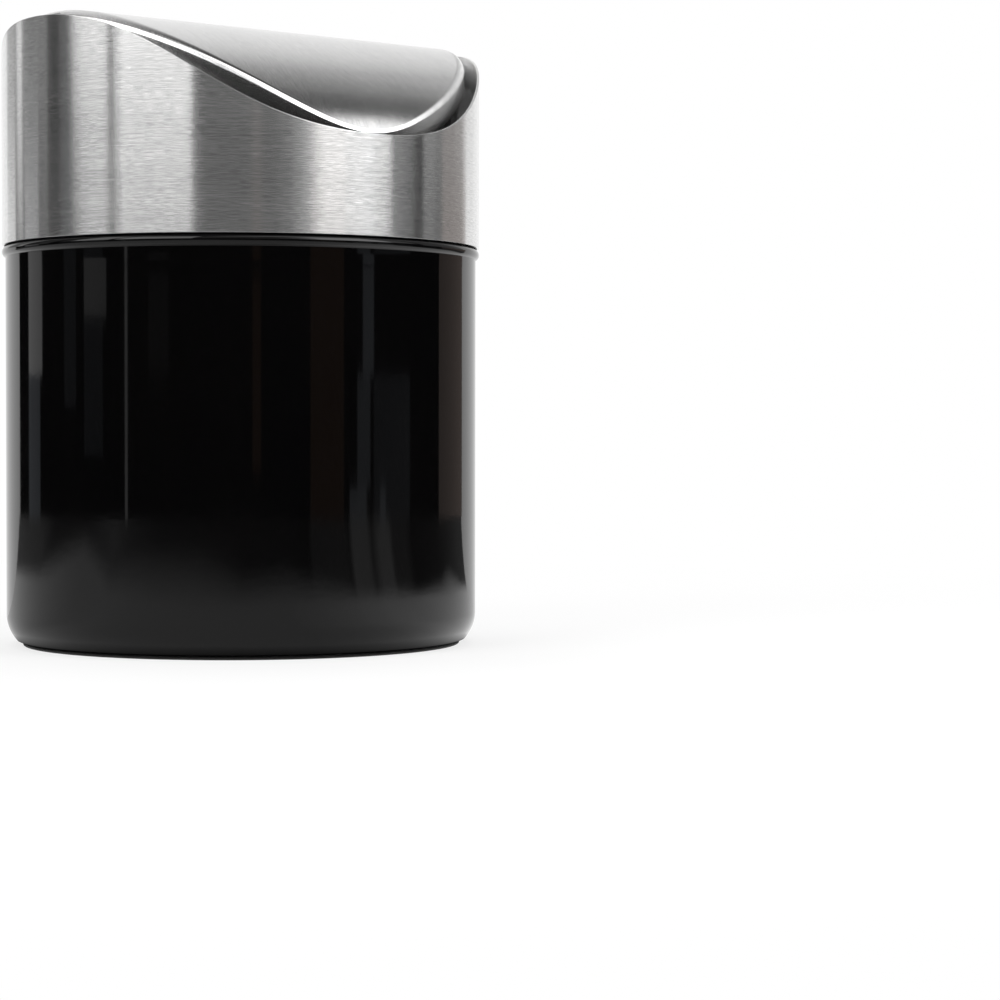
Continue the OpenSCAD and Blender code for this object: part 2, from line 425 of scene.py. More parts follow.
def plain_metal(name, low, high, rough_low, rough_high):
    """Metal as it comes from the mill or the lathe."""
    m = Surface(name)
    grain = m.noise(m.coords("Object", (1.0, 1.0, 0.15)), scale=1800.0, detail=3.0)
    m.colour(grain, low, high)
    m.roughen(grain, rough_low, rough_high)
    m.shader.inputs["Metallic"].default_value = 1.0
    m.bump(grain, strength=0.2, distance_mm=0.01)
    return m.material


def grey(level):
    return (level, level, level)


COLLAR_STEEL = brushed_steel("collar_steel", grey(0.54), (0.83, 0.825, 0.82), 0.19, 0.23)
FLAP_STEEL = brushed_steel("flap_steel", grey(0.66), (0.92, 0.915, 0.91), 0.20, 0.27)
ENAMEL = black_enamel()
BLACK_PLASTIC = satin_plastic(
    "black_plastic", (0.018, 0.018, 0.019), (0.026, 0.026, 0.027), 0.37, 0.49)
WHITE_PLASTIC = satin_plastic("natural_nylon", (0.74, 0.73, 0.69), (0.82, 0.81, 0.78), 0.35, 0.47)
PAD_RUBBER = satin_plastic("pad_rubber", grey(0.014), grey(0.022), 0.65, 0.77)
BRACKET_STEEL = plain_metal("bracket_steel", (0.46, 0.46, 0.47), grey(0.6), 0.30, 0.44)
RIVET_METAL = plain_metal("rivet_metal", (0.6, 0.6, 0.61), grey(0.72), 0.24, 0.38)
PIN_STEEL = plain_metal("pin_steel", (0.55, 0.55, 0.56), grey(0.68), 0.16, 0.30)


def dress(obj, material, body, node):
    """Gives a piece its material and its body, and hides the CAD node it stands for."""
    obj.data.materials.clear()
    obj.data.materials.append(material)
    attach(obj, body)
    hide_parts(node)


# ---------------------------------------------------------------------------
# The can
# ---------------------------------------------------------------------------


def can_section():
    """Closed section of the can's sheet, from the middle of the mouth's rolled edge down."""
    bore = CAN_R - SHEET
    bead_z = CAN_TOP - BEAD_R
    wall_top = bead_z - BEAD_R
    corner_x = CAN_R - CORNER_R
    corner_z = CAN_BOTTOM + CORNER_R - CORNER_CUT
    kink = -degrees(asin((corner_z - CAN_BOTTOM) / CORNER_R))
    inner_kink = -degrees(asin((corner_z - CAN_BOTTOM - SHEET) / (CORNER_R - SHEET)))
    edge_x = corner_x + CORNER_R * cos(radians(kink))
    dish_x = edge_x - FOOT_W
    dish_z = CAN_BOTTOM + DISH_H
    section = arc(bore, bead_z, BEAD_R, 90, BEAD_END, steps=16)
    section += arc(CAN_R + FILLET_R, wall_top - FILLET_DROP, FILLET_R, 120, 180, steps=4)
    section += [
        (CAN_R, wall_top - (wall_top - corner_z) * i / WALL_ROWS) for i in range(1, WALL_ROWS)
    ]
    section += arc(corner_x, corner_z, CORNER_R, 0, kink + EDGE_TURN, steps=18)
    section += arc(edge_x - EDGE_IN, CAN_BOTTOM + EDGE_R, EDGE_R, kink, -90, steps=4)
    section += [
        (dish_x + FOOT_BEVEL, CAN_BOTTOM), (dish_x, CAN_BOTTOM + FOOT_BEVEL),
        (dish_x, dish_z - DISH_BEVEL), (dish_x - DISH_BEVEL, dish_z),
        (AXIS_R, dish_z), (AXIS_R, dish_z + SHEET),
        (dish_x + INNER_BEVEL, dish_z + SHEET), (dish_x + SHEET, dish_z),
        (dish_x + SHEET + INNER_BEVEL, CAN_BOTTOM + SHEET),
    ]
    section += arc(corner_x, corner_z, CORNER_R - SHEET, inner_kink, 0, steps=12)
    section += [(bore, wall_top), (bore, CAN_TOP - INNER_BEVEL)]
    return section


def make_can():
    dress(lathe("can_body", can_section()), ENAMEL, "can", "can_shell")


def make_base_pad():
    outer = PAD_HIGH[0]
    inner = outer - PAD_W
    section = softened([(inner, PAD_LOW[2]), (outer, PAD_LOW[2]),
                        (outer, PAD_HIGH[2]), (inner, PAD_HIGH[2])], PAD_SOFT)
    dress(lathe("foot_ring", section), PAD_RUBBER, "can", "base_pad")


# ---------------------------------------------------------------------------
# The collar
# ---------------------------------------------------------------------------


def rim_z(y):
    """Height of the collar's rim at a distance y from the line of its peaks."""
    share = min(abs(y) / COLLAR_R, 1.0) ** RIM_POWER
    drop = PEAK_Z - COLLAR_Z - COLLAR_DIP_H
    return PEAK_Z - drop * (share + RIM_BUNCH * share * (1 - share) * (2 * share - 1))


def make_collar():
    outer = COLLAR_R
    bore = COLLAR_R - SHEET
    soft = COLLAR_SOFT
    wall = [(0.0, soft), (0.0, COLLAR_TIGHT)]
    wall += [(i / COLLAR_ROWS, 0.0) for i in range(1, COLLAR_ROWS)]
    wall += [(1.0, -COLLAR_TIGHT), (1.0, -soft)]
    rows = [(bore + soft, 0.0, 0.0), (outer - soft, 0.0, 0.0)]
    rows += [(outer, share, nudge) for share, nudge in wall]
    rows += [(outer - soft, 1.0, 0.0), (bore + soft, 1.0, 0.0)]
    rows += [(bore, share, nudge) for share, nudge in reversed(wall)]

    def place(row, angle):
        """A row holds a radius, a share of the wall's height, and a distance added to it."""
        radius, share, nudge = row
        x = radius * cos(angle)
        y = radius * sin(angle)
        top = rim_z(COLLAR_R * sin(angle))
        return (x, y, COLLAR_Z + (top - COLLAR_Z) * share + nudge)

    collar = closed_sheet("collar", rows, AROUND, place)
    dress(collar, COLLAR_STEEL, "lid", "lid_collar")


# ---------------------------------------------------------------------------
# The neck ring, the brackets and their rivets and bushes
# ---------------------------------------------------------------------------


def rib_rise(angle):
    """How far the plug's outside stands out at an angle, over one of its upright ribs."""
    pitch = 2 * pi / RIB_COUNT
    offset = abs(angle % pitch - pitch / 2) * PLUG_R
    return RIB_H * max(0.0, min(1.0, (RIB_W / 2 - offset) / RIB_FLANK))


def make_neck_ring():
    foot_z = COLLAR_Z - PLUG_H
    flange_top = COLLAR_Z + FLANGE_H
    section = softened([
        (PLUG_BORE_R, foot_z), (PLUG_R - PLUG_LEAD_W, foot_z), (PLUG_R, foot_z + PLUG_LEAD_H),
        (PLUG_R, COLLAR_Z), (BAND_R, COLLAR_Z), (BAND_R, BAND_TOP),
        (BAND_BORE_R, BAND_TOP), (BAND_BORE_R, flange_top), (PLUG_BORE_R, flange_top),
    ], MOULD_SOFT)
    tolerance = 0.05              # how close to the plug's outside a row has to be

    def place(row, angle):
        """Only the rows on the outside of the plug have the ribs."""
        radius, z = row
        if z < COLLAR_Z - tolerance and radius > PLUG_R - tolerance:
            radius += rib_rise(angle)
        return (radius * cos(angle), radius * sin(angle), z)

    ring = closed_sheet("neck_moulding", section, RING_AROUND, place)
    dress(ring, BLACK_PLASTIC, "lid", "neck_ring")


def plate_outline(half_w, up, down, corner):
    """Outline of a plate with round corners, from +Y round through the top, about its hole."""
    outline = []
    for across, rise, start in ((1, up, 0), (-1, up, 90), (-1, -down, 180), (1, -down, 270)):
        middle_z = rise - corner if rise > 0 else rise + corner
        outline += arc(across * (half_w - corner), middle_z, corner, start, start + 90, steps=8)
    filled = []
    for i, (y, z) in enumerate(outline):
        next_y, next_z = outline[(i + 1) % len(outline)]
        pieces = max(1, ceil(hypot(next_y - y, next_z - z)))
        for k in range(pieces):
            share = k / pieces
            filled.append((y + (next_y - y) * share, z + (next_z - z) * share))
    return filled


def curved_plate(name, side, outer_r, hole_r, up, down):
    """Plate bent round the Z axis, with a hole on the pivot axis; side is 1 for +X.

    Its rows run from the hole's edge, at a share of 0, to the outline, at a share of 1, and
    stand closer together at both.
    """
    outline = plate_outline(PLATE_W / 2, up, down, PLATE_CORNER)
    inner_r = outer_r - PLATE_T
    shares = [0.0, 0.02] + [i / PLATE_ROWS for i in range(1, PLATE_ROWS)] + [0.96, 0.985]
    rows = [(share, inner_r) for share in shares]
    rows += [(1.0, inner_r + SMALL_SOFT), (1.0, outer_r - SMALL_SOFT)]
    rows += [(share, outer_r) for share in reversed(shares)]

    def place(row, angle):
        share, radius = row
        y, z = outline[round(angle / (2 * pi) * len(outline)) % len(outline)]
        hole = hole_r / hypot(y, z)
        y *= hole + (1 - hole) * share
        z *= hole + (1 - hole) * share
        return (side * sqrt(radius ** 2 - y ** 2), side * y, PIVOT_Z + z)

    return closed_sheet(name, rows, len(outline), place)


def make_bracket(side, hand):
    """The bracket inside one of the collar's peaks, and the bush in it."""
    bracket = curved_plate(f"bracket_strip_{hand}", side, BRACKET_R, BUSH_R,
                           BRACKET_OVER, PIVOT_Z - COLLAR_Z - FLANGE_H)
    dress(bracket, BRACKET_STEEL, "lid", f"bracket_{hand}")
    near = BRACKET_R - PLATE_T
    bore = PIN_R + PIN_PLAY
    flange_x = BRACKET_R + CLEAR
    end_x = flange_x + BUSH_FLANGE_T
    profile = softened([
        (near, bore), (near, BUSH_R), (flange_x, BUSH_R),
        (flange_x, BUSH_FLANGE_R), (end_x, BUSH_FLANGE_R), (end_x, bore),
    ], SMALL_SOFT)
    points, faces = turned([(profile, 0.0, PIVOT_Z)], side)
    bush = new_object(f"bush_sleeve_{hand}", points, faces)
    dress(bush, WHITE_PLASTIC, "lid", f"bush_{hand}")


def domed(x, height, radius):
    """Profile of a low domed head from its middle at x to its edge, x + height away."""
    return [
        (x + height * (1 - cos(radians(turn))), max(radius * sin(radians(turn)), AXIS_R))
        for turn in range(0, 91, 10)
    ]


def make_rivets():
    """The four rivets of the brackets: domed heads inside, shanks that end in the band."""
    rivet_z = COLLAR_Z + FLANGE_H + (BAND_TOP - COLLAR_Z - FLANGE_H) / 2
    near = BRACKET_R - PLATE_T
    seat_x = near - RIVET_SEAT
    profile = domed(near - RIVET_HEAD_IN, RIVET_DOME_H, RIVET_HEAD_R)
    profile += [(seat_x, RIVET_HEAD_R), (seat_x, RIVET_R), (BRACKET_R, RIVET_R),
                (BRACKET_R, AXIS_R)]
    points = []
    faces = []
    for side in (1, -1):
        part_points, part_faces = turned(
            [(profile, -RIVET_Y, rivet_z), (profile, RIVET_Y, rivet_z)], side)
        faces += [[i + len(points) for i in face] for face in part_faces]
        points += part_points
    rivets = new_object("domed_rivets", points, faces)
    dress(rivets, RIVET_METAL, "lid", "bracket_rivets")


# ---------------------------------------------------------------------------
# The flap
# ---------------------------------------------------------------------------


def flap_side(angle, inset):
    """Section of the flap's skin in the upright plane at an angle, from the middle outwards.

    The arch runs into the skirt through a rounded bend. inset is 0 for the outside and the
    sheet's thickness for the inside.
    """
    edge = FLAP_R - inset
    half_w = ARCH_W - inset
    half_h = ARCH_H - inset
    bend = BEND_R - inset
    centre_z = RIDGE_Z - ARCH_H
    lean = sin(angle) ** 2

    def arch_z(r):
        return centre_z + half_h * sqrt(1 - lean * (r / half_w) ** 2)

    def normal(r):
        slope = half_h * lean * r / half_w ** 2 / sqrt(1 - lean * (r / half_w) ** 2)
        size = hypot(slope, 1.0)
        return slope / size, 1 / size

    start = edge - bend
    for _ in range(12):           # more than enough rounds to settle where the bend starts
        start = edge - bend * (1 - normal(start)[0])
    out, up = normal(start)
    bend_z = arch_z(start) - bend * up
    first = atan2(up, out)
    foot = centre_z + ARCH_H * sqrt(1 - lean * (FLAP_R / ARCH_W) ** 2) - SKIRT_H
    across = abs(FLAP_R * sin(angle))
    if across < NOTCH_R:
        foot = max(foot, PIVOT_Z + sqrt(NOTCH_R ** 2 - across ** 2))
    path = []
    for i in range(ARCH_ROWS + 1):
        r = AXIS_R + (start - AXIS_R) * (i / ARCH_ROWS) ** ARCH_BUNCH
        path.append((r, arch_z(r)))
    for i in range(1, BEND_ROWS + 1):
        turn = first * (1 - i / BEND_ROWS)
        path.append((edge - bend + bend * cos(turn), bend_z + bend * sin(turn)))
    for i in range(1, SKIRT_ROWS + 1):
        path.append((edge, bend_z + (foot - bend_z) * i / SKIRT_ROWS))
    return path


def arch_length(y):
    """Length along the arch from the ridge to a distance y from it."""
    steps = 24
    length = 0.0
    last_z = ARCH_H
    for i in range(1, steps + 1):
        z = ARCH_H * sqrt(1 - (y * i / steps / ARCH_W) ** 2)
        length += hypot(y / steps, z - last_z)
        last_z = z
    return length if y > 0 else -length


def sheet_marks(path, angle, turned_down):
    """Brush coordinates of a section's points, in metres: u runs along the brush marks.

    The arch is brushed across its ridge. The bend and the skirt, which are turned down, are
    brushed from top to bottom.
    """
    marks = []
    length = 0.0
    for i, (r, z) in enumerate(path):
        if i:
            length += hypot(r - path[i - 1][0], z - path[i - 1][1])
        if turned_down:
            marks.append((length * MM, angle * FLAP_R * MM))
        else:
            marks.append((arch_length(r * sin(angle)) * MM, r * cos(angle) * MM))
    return marks


def make_flap():
    """The flap's skin: rows out over the outside, in over the inside, with a brush map."""
    around = FLAP_AROUND
    angles = [2 * pi * s / around for s in range(around + 1)]
    outside = [flap_side(a, 0.0) for a in angles]
    inside = [flap_side(a, SHEET) for a in angles]
    sections = [a + list(reversed(b)) for a, b in zip(outside, inside)]
    half = len(outside[0])
    count = 2 * half
    points = []
    for row in range(count):
        for s in range(around):
            r, z = sections[s][row]
            points.append((r * cos(angles[s]), r * sin(angles[s]), z))
    marks = []
    for turned_down in (False, True):
        marks.append([
            sheet_marks(a, t, turned_down) + list(reversed(sheet_marks(b, t, turned_down)))
            for a, b, t in zip(outside, inside, angles)
        ])
    faces = []
    uvs = []
    for row in range(count - 1):
        turned_down = min(row, count - 2 - row) >= ARCH_ROWS
        for s in range(around):
            s2 = (s + 1) % around
            faces.append((row * around + s, (row + 1) * around + s,
                          (row + 1) * around + s2, row * around + s2))
            here, there = marks[turned_down][s], marks[turned_down][s + 1]
            uvs.append([here[row], here[row + 1], there[row + 1], there[row]])
    flap = new_object("flap_skin", points, faces, uvs)
    dress(flap, FLAP_STEEL, "flap", "flap_panel")


def make_hinge(side, hand):
    """The plate inside one end of the flap, and the pin riveted into it."""
    half_w = ARCH_W - SHEET
    half_h = ARCH_H - SHEET
    arch_z = RIDGE_Z - ARCH_H + half_h * sqrt(1 - (PLATE_W / 2 / half_w) ** 2)
    plate = curved_plate(f"hinge_strip_{hand}", side, PLATE_R, TAIL_R + CLEAR,
                         arch_z - CLEAR - PIVOT_Z, PLATE_UNDER)
    dress(plate, BRACKET_STEEL, "flap", f"hinge_plate_{hand}")
    shoulder_x = PLATE_R + CLEAR
    head_x = sqrt((PLATE_R - PLATE_T) ** 2 - TAIL_HEAD_R ** 2) - CLEAR - TAIL_HEAD_H
    end_x = BRACKET_R + PIN_OUT
    profile = domed(head_x, TAIL_HEAD_H - TAIL_RIM, TAIL_HEAD_R)
    profile += [
        (head_x + TAIL_HEAD_H, TAIL_HEAD_R), (head_x + TAIL_HEAD_H, TAIL_R),
        (shoulder_x, TAIL_R), (shoulder_x, PIN_R - PIN_SHOULDER),
        (shoulder_x + PIN_SHOULDER, PIN_R), (end_x - PIN_BEVEL, PIN_R),
        (end_x, PIN_R - PIN_BEVEL), (end_x, AXIS_R),
    ]
    points, faces = turned([(profile, 0.0, PIVOT_Z)], side)
    pin = new_object(f"pivot_pin_{hand}", points, faces)
    dress(pin, PIN_STEEL, "flap", f"pin_{hand}")


# ---------------------------------------------------------------------------
# Studio
# ---------------------------------------------------------------------------

# The camera, found from the round edges of the can in the photograph
VIEW_TURN = -33.0                 # degrees round the can from the front
CAMERA_OUT = 731.1                # distance from the can's axis
CAMERA_UP = 56.6                  # height over the standing surface
CAMERA_PAN = 0.09333              # radians to the right of the can's axis
CAMERA_TILT = 0.02583             # radians downwards
CAMERA_ROLL = 0.00134             # radians by which its right side is up
CAMERA_LENS = 99.03
SENSOR_W = 36.0

# The world and the floor, which are white to the camera and in reflections
WHITE = (1.0, 1.0, 1.0, 1.0)
SKY_LIT = 0.35                    # strength with which the world lights the bin
FLOOR_HALF = 3.0                  # half the floor's width, in metres
FLOOR_COLOUR = (*grey(0.8), 1.0)
SHADE_FROM = 0.08                 # metres from the middle where the floor's own shading starts
SHADE_TO = 0.45                   # to fade, and where it is gone
SHADE_GLOW = 0.75                 # share of plain white in the floor next to the can

# The soft lamps, for everything that isn't a mirror: name, turn from the camera's side,
# distance from the can's axis, height, the panel's two sides, watts
LAMPS = (
    ("lamp_left", -45, 900, 620, 560, 500, 6.0),
    ("lamp_right", 57, 900, 620, 500, 500, 6.0),
    ("lamp_over", 180, 300, 1100, 900, 700, 8.0),
)
LAMP_AIM_Z = 110.0                # height on the can's axis at which the lamps are aimed

# The room that the gloss and the brushed steel reflect, made of plain cards
ROOM_R = 1100                     # how far the room is from the can's axis
HIGH_R = ROOM_R - 15              # the high cards stand in front of the dark low room
DIM_R = ROOM_R - 30               # and the dim cards in front of both
ROOM_BOTTOM = -60                 # below the floor, so that no gap shows under a card
MID_TOP = 200                     # height up to which the gloss shows the room
LOW_TOP = 380                     # height up to which most of the room is dark
HIGH_TOP = 1330                   # height of the ceiling
LOW_ROOM_TURN = 133               # how far the dark low room goes round on each side
LOW_ROOM_LEVEL = 0.006
LID_Z = 130                       # height of the lid's middle
CEILING_HALF_W = 2600
CARD_STEP = 6.0                   # turn that one flat piece of a card spans

PLAIN = grey(1.0)
COOL = (0.86, 0.92, 1.0)
WARM = (1.0, 0.62, 0.42)
ROSY = (1.0, 0.82, 0.74)

# The dim lower room, which only the gloss on the can shows: turns, heights, level, tint
DIM_CARDS = (
    (-122, -109, 90, MID_TOP, 0.75, PLAIN),
    (-122, -111, -20, 90, 0.28, COOL),
    (-92, -84, 70, MID_TOP, 0.10, COOL),
    (-90, -88, 110, MID_TOP, 0.40, PLAIN),
    (-79, -66, 125, MID_TOP, 0.42, PLAIN),
    (-79, -68, 40, 125, 0.10, COOL),
    (-56, -54.6, -40, 160, 0.75, PLAIN),
    (-44, -34, 90, 150, 0.06, PLAIN),
    (4.5, 8.5, 30, 150, 0.12, WARM),
    (31.5, 48, ROOM_BOTTOM, MID_TOP, 0.13, WARM),
    (55, 62, 20, 90, 0.30, COOL),
    (58, 64, 90, 160, 0.40, COOL),
    (51, 60, ROOM_BOTTOM, 20, 0.40, COOL),
    (64, 86, ROOM_BOTTOM, 90, 0.13, COOL),
    (66, 72, ROOM_BOTTOM, 20, 0.45, COOL),
    (108, 133, ROOM_BOTTOM, MID_TOP, 0.28, ROSY),
)

# The floor as the gloss shows it: turn, how far out it is pale, where it is dark, both levels
FLOOR_KNOTS = (
    (-134, 360, 490, 0.78, 0.15),
    (-108, 360, 490, 0.78, 0.20),
    (-99, 370, 710, 0.76, 0.08),
    (-78, 590, 970, 0.70, 0.08),
    (-61, 300, 550, 0.80, 0.32),
    (-55, 300, 690, 0.78, 0.20),
    (-40, 260, 790, 0.73, 0.08),
    (-20, 260, 750, 0.70, 0.06),
    (0, 260, 510, 0.68, 0.05),
    (19, 270, 570, 0.68, 0.05),
    (30, 265, 490, 0.80, 0.04),
    (32, 265, 490, 0.82, 0.13),
    (48, 270, 390, 1.05, 0.13),
    (50, 270, 370, 1.10, 0.08),
    (51, 270, 350, 1.15, 0.46),
    (60, 270, 350, 1.25, 0.40),
    (62, 270, 350, 1.30, 0.13),
    (66, 270, 350, 1.35, 0.45),
    (72, 270, 350, 1.35, 0.45),
    (74, 270, 350, 1.35, 0.13),
    (83, 270, 330, 1.25, 0.13),
    (85, 265, 330, 1.25, 0.04),
    (104, 255, 390, 1.15, 0.05),
    (113, 250, 490, 1.08, 0.08),
    (124, 270, 350, 1.02, 0.12),
    (132, 270, 330, 1.00, 0.12),
)
# Distances from the can's axis at which that level is worked out
FLOOR_RADII = (
    56, 58, 60, 62.5, 66, 75, 90, 120, 160, 200, 230, 260, 290, 320, 350, 385, 425, 470, 520, 590,
    680, 800, 940, 1100,
)
FLOOR_FADE = 1.5                  # power of the fade from pale to dark
FOOT_SHADE_IN = 58                # under the can's edge the reflected floor is black up to here
FOOT_SHADE_OUT = 62               # and at its full level from here on
GLOW_Z = 0.5                      # height of the card that carries the reflected floor
GLOW_STEP = 2                     # turn between its sides

# The bright upper room: turns as the collar shows them, lower edge, level
HIGH_CARDS = (
    (-150, -134.5, MID_TOP, 0.40),
    (-134.5, -128, MID_TOP, 1.1),
    (-128, -113.5, MID_TOP, 0.13),
    (-113.5, -104.5, MID_TOP, 0.29),
    (-104.5, -98, LOW_TOP, 0.02),
    (-98, -90.5, LOW_TOP, 0.33),
    (-90.5, -88, LOW_TOP, 1.4),
    (-88, -82, LOW_TOP, 3.1),
    (-82, -67, LOW_TOP, 3.0),
    (-67, -63.5, LOW_TOP, 0.02),
    (-63.5, -60, LOW_TOP, 3.2),
    (-60, -54, LOW_TOP, 3.9),
    (-54, -24, LOW_TOP, 3.5),
    (-24, 5.5, LOW_TOP, 0.39),
    (5.5, 8, LOW_TOP, 0.55),
    (8, 18, LOW_TOP, 0.39),
    (18, 24, LOW_TOP, 0.56),
    (24, 29, LOW_TOP, 0.90),
    (29, 33, LOW_TOP, 1.55),
    (33, 36.5, LOW_TOP, 2.4),
    (36.5, 40, LOW_TOP, 4.0),
    (40, 67, LOW_TOP, 4.7),
    (67, 77, LOW_TOP, 4.4),
    (77, 86, LOW_TOP, 1.1),
    (86, 93.5, LOW_TOP, 0.90),
    (93.5, 96.5, LOW_TOP, 0.02),
    (96.5, 106, MID_TOP, 0.47),
    (106, 119, MID_TOP, 0.37),
    (119, 124, MID_TOP, 0.37),
    (124, 133.5, MID_TOP, 0.45),
    (133.5, 150, MID_TOP, 0.90),
)

# The ceiling in strips along the flap's ridge, from the lamp in front to the far wall: how far
# behind the can each strip starts and ends, as a share of the ceiling's height, and its level
CEILING_STRIPS = (
    (-1.60, -0.56, 2.0),
    (-0.56, -0.50, 0.9),
    (-0.50, -0.14, 0.01),
    (-0.14, 0.05, 0.12),
    (0.05, 0.16, 0.22),
    (0.16, 0.28, 0.36),
    (0.28, 0.40, 0.54),
    (0.40, 0.50, 0.68),
    (0.50, 0.65, 0.78),
    (0.65, 0.80, 0.84),
    (0.80, 1.00, 0.90),
    (1.00, 1.30, 0.95),
    (1.30, 2.00, 1.02),
    (2.00, 3.00, 1.10),
)


def polar(turn, out, up):
    """Point at a turn in degrees from the camera's side of the can, in metres."""
    angle = radians(VIEW_TURN + turn)
    return Vector((sin(angle) * out, -cos(angle) * out, up)) * MM


def make_camera():
    data = bpy.data.cameras.new("camera")
    data.lens = CAMERA_LENS
    data.sensor_width = SENSOR_W
    data.clip_start = 0.01
    data.clip_end = 20.0
    camera = placed("camera", data)
    forward = Vector((
        sin(CAMERA_PAN) * cos(CAMERA_TILT), cos(CAMERA_PAN) * cos(CAMERA_TILT), -sin(CAMERA_TILT)
    ))
    level = Vector((cos(CAMERA_PAN), -sin(CAMERA_PAN), 0.0))
    raised = level.cross(forward)
    right = level * cos(CAMERA_ROLL) + raised * sin(CAMERA_ROLL)
    up = raised * cos(CAMERA_ROLL) - level * sin(CAMERA_ROLL)
    round_can = Matrix.Rotation(radians(VIEW_TURN), 3, "Z")
    axes = Matrix((round_can @ right, round_can @ up, round_can @ -forward)).transposed()
    camera.matrix_world = Matrix.Translation(polar(0, CAMERA_OUT, CAMERA_UP)) @ axes.to_4x4()
    bpy.context.scene.camera = camera


def empty_nodes(owner):
    """Empty node tree of a new material or world."""
    owner.use_nodes = True
    owner.node_tree.nodes.clear()
    return Nodes(owner.node_tree)


def shader_mix(nodes, factor, first, second):
    """Two shaders mixed; a factor of 1 gives the second."""
    mix = nodes.add("ShaderNodeMixShader")
    nodes.link(factor, mix.inputs["Fac"])
    nodes.link(first, mix.inputs[1])
    nodes.link(second, mix.inputs[2])
    return mix.outputs[0]


def path_mix(nodes, shown, lit):
    """Mixes two shaders: shown for camera, glossy and transmission rays, lit for the rest."""
    path = nodes.add("ShaderNodeLightPath")
    total = path.outputs["Is Camera Ray"]
    for name in ("Is Glossy Ray", "Is Transmission Ray"):
        either = nodes.add("ShaderNodeMath", operation="MAXIMUM")
        nodes.link(total, either.inputs[0])
        nodes.link(path.outputs[name], either.inputs[1])
        total = either.outputs[0]
    return shader_mix(nodes, total, lit, shown)


def make_world():
    world = bpy.data.worlds.new("studio")
    bpy.context.scene.world = world
    nodes = empty_nodes(world)
    shown = nodes.add("ShaderNodeBackground", Color=WHITE, Strength=1.0)
    lit = nodes.add("ShaderNodeBackground", Color=WHITE, Strength=SKY_LIT)
    out = nodes.add("ShaderNodeOutputWorld")
    nodes.link(path_mix(nodes, shown.outputs[0], lit.outputs[0]), out.inputs["Surface"])


def make_floor():
    """White floor. Near the can it keeps a little of its own shading, and so the shadow."""
    mesh = bpy.data.meshes.new("floor")
    half = FLOOR_HALF
    mesh.from_pydata([(-half, -half, 0), (half, -half, 0), (half, half, 0), (-half, half, 0)],
                     [], [(0, 1, 2, 3)])
    material = bpy.data.materials.new("floor_white")
    nodes = empty_nodes(material)
    diffuse = nodes.add("ShaderNodeBsdfDiffuse", Color=FLOOR_COLOUR)
    glow = nodes.add("ShaderNodeEmission", Color=WHITE, Strength=1.0)
    place = nodes.add("ShaderNodeTexCoord")
    reach = nodes.add("ShaderNodeVectorMath", operation="LENGTH")
    nodes.link(place.outputs["Object"], reach.inputs[0])
    fade = nodes.add("ShaderNodeMapRange", From_Min=SHADE_FROM, From_Max=SHADE_TO,
                     To_Min=SHADE_GLOW, To_Max=1.0)
    nodes.link(reach.outputs["Value"], fade.inputs["Value"])
    shown = shader_mix(nodes, fade.outputs["Result"], diffuse.outputs[0], glow.outputs[0])
    out = nodes.add("ShaderNodeOutputMaterial")
    nodes.link(path_mix(nodes, shown, diffuse.outputs[0]), out.inputs["Surface"])
    mesh.materials.append(material)
    floor = placed("floor", mesh)


def softbox(name, turn, out, up, width, height, power):
    """Area light that faces the can."""
    data = bpy.data.lights.new(name, "AREA")
    data.shape = "RECTANGLE"
    data.size = width * MM
    data.size_y = height * MM
    data.energy = power
    light = placed(name, data)
    place = polar(turn, out, up)
    aim = Vector((0.0, 0.0, LAMP_AIM_Z * MM)) - place
    light.location = place
    light.rotation_euler = aim.to_track_quat("-Z", "Y").to_euler()
    light.visible_camera = False
    light.visible_glossy = False


def emission(name, level, tint=PLAIN):
    """Material that only shines, with its nodes and its emission node."""
    material = bpy.data.materials.new(name)
    nodes = empty_nodes(material)
    emit = nodes.add("ShaderNodeEmission", Color=(*tint, 1.0), Strength=level)
    out = nodes.add("ShaderNodeOutputMaterial")
    nodes.link(emit.outputs[0], out.inputs["Surface"])
    return material, nodes, emit


def stage_card(name, mesh):
    """Puts a card on the stage, where only reflections see it."""
    obj = placed(name, mesh)
    obj.visible_camera = False
    obj.visible_diffuse = False
    obj.visible_shadow = False


def card(name, quads, level, tint=PLAIN):
    """Card of four-cornered pieces, each of one level and tint."""
    points = [corner for quad in quads for corner in quad]
    mesh = bpy.data.meshes.new(name)
    mesh.from_pydata(points, [], [tuple(range(4 * i, 4 * i + 4)) for i in range(len(quads))])
    mesh.materials.append(emission(name, level, tint)[0])
    stage_card(name, mesh)


def turns(turn_from, turn_to):
    """Pairs of turns that split a card's span into flat pieces."""
    steps = max(1, ceil(abs(turn_to - turn_from) / CARD_STEP))
    edges = [turn_from + (turn_to - turn_from) * i / steps for i in range(steps + 1)]
    return list(zip(edges, edges[1:]))


def upright_card(name, turn_from, turn_to, out, low, high, level, tint=PLAIN):
    """Upright card that bends round the can between two turns from the camera's side."""
    quads = [
        (polar(a, out, low), polar(b, out, low), polar(b, out, high), polar(a, out, high))
        for a, b in turns(turn_from, turn_to)
    ]
    card(name, quads, level, tint)


def ceiling_card(name, front, back, level):
    """Level strip over the can, along the flap's ridge."""
    rise = HIGH_TOP - LID_Z
    corners = [
        Vector((side * CEILING_HALF_W, share * rise, HIGH_TOP)) * MM
        for side, share in ((-1, front), (1, front), (1, back), (-1, back))
    ]
    card(name, [corners], level)


def room_turn(shown):
    """Turn at which a card stands so that the collar shows it at a turn of shown degrees."""
    return shown - degrees(asin(COLLAR_R * sin(radians(shown / 2)) / ROOM_R))


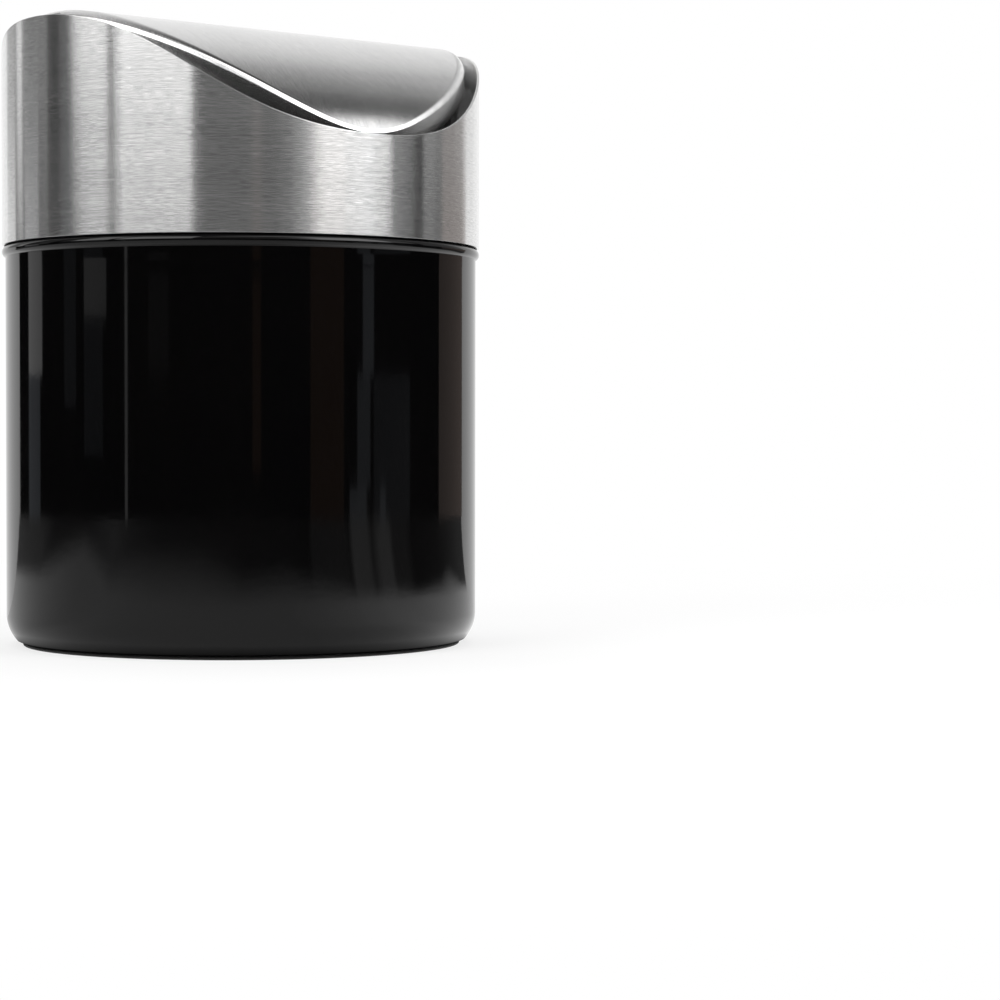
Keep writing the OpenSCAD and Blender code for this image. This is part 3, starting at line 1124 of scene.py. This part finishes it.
def floor_level(turn, out):
    """Level of the reflected floor at a turn and a distance from the can's axis."""
    after = next(i for i, knot in enumerate(FLOOR_KNOTS) if knot[0] >= turn)
    before = max(after - 1, 0)
    span = FLOOR_KNOTS[after][0] - FLOOR_KNOTS[before][0]
    share = (turn - FLOOR_KNOTS[before][0]) / span if span else 0.0
    near, far, pale, dark = (
        low + (high - low) * share
        for low, high in zip(FLOOR_KNOTS[before][1:], FLOOR_KNOTS[after][1:])
    )
    pale_share = min(max((far - out) / (far - near), 0.0), 1.0) ** FLOOR_FADE
    foot_share = (out - FOOT_SHADE_IN) / (FOOT_SHADE_OUT - FOOT_SHADE_IN)
    return (dark + (pale - dark) * pale_share) * min(max(foot_share, 0.0), 1.0)


def make_floor_glow():
    """Level card over the floor, whose level changes softly from place to place."""
    sides = range(FLOOR_KNOTS[0][0], FLOOR_KNOTS[-1][0] + 1, GLOW_STEP)
    spots = [(turn, out) for turn in sides for out in FLOOR_RADII]
    rings = len(FLOOR_RADII)
    faces = [
        (a * rings + r, a * rings + r + 1, (a + 1) * rings + r + 1, (a + 1) * rings + r)
        for a in range(len(sides) - 1) for r in range(rings - 1)
    ]
    mesh = bpy.data.meshes.new("floor_glow")
    mesh.from_pydata([polar(turn, out, GLOW_Z) for turn, out in spots], [], faces)
    layer = mesh.color_attributes.new(name="level", type="FLOAT_COLOR", domain="POINT")
    for i, (turn, out) in enumerate(spots):
        layer.data[i].color = (*grey(floor_level(turn, out)), 1.0)
    material, nodes, emit = emission("floor_glow", 1.0)
    source = nodes.add("ShaderNodeAttribute", attribute_name="level")
    nodes.link(source.outputs["Color"], emit.inputs["Color"])
    mesh.materials.append(material)
    stage_card("floor_glow", mesh)


def make_reflections():
    """What the gloss and the brushed steel see round the can, besides the white backdrop."""
    make_floor_glow()
    upright_card("low_room", -LOW_ROOM_TURN, LOW_ROOM_TURN, ROOM_R, ROOM_BOTTOM, LOW_TOP,
                 LOW_ROOM_LEVEL)
    for i, (start, end, low, high, level, tint) in enumerate(DIM_CARDS):
        upright_card(f"dim_{i}", start, end, DIM_R, low, high, level, tint)
    for i, (start, end, low, level) in enumerate(HIGH_CARDS):
        upright_card(f"high_{i}", room_turn(start), room_turn(end), HIGH_R, low, HIGH_TOP, level)
    for i, (front, back, level) in enumerate(CEILING_STRIPS):
        ceiling_card(f"ceiling_{i}", front, back, level)


make_can()
make_base_pad()
make_collar()
make_neck_ring()
make_rivets()
make_flap()
for side, hand in ((-1, "left"), (1, "right")):
    make_bracket(side, hand)
    make_hinge(side, hand)

make_camera()
make_world()
make_floor()
make_reflections()
for lamp in LAMPS:
    softbox(*lamp)
bpy.context.scene.view_settings.view_transform = "Standard"
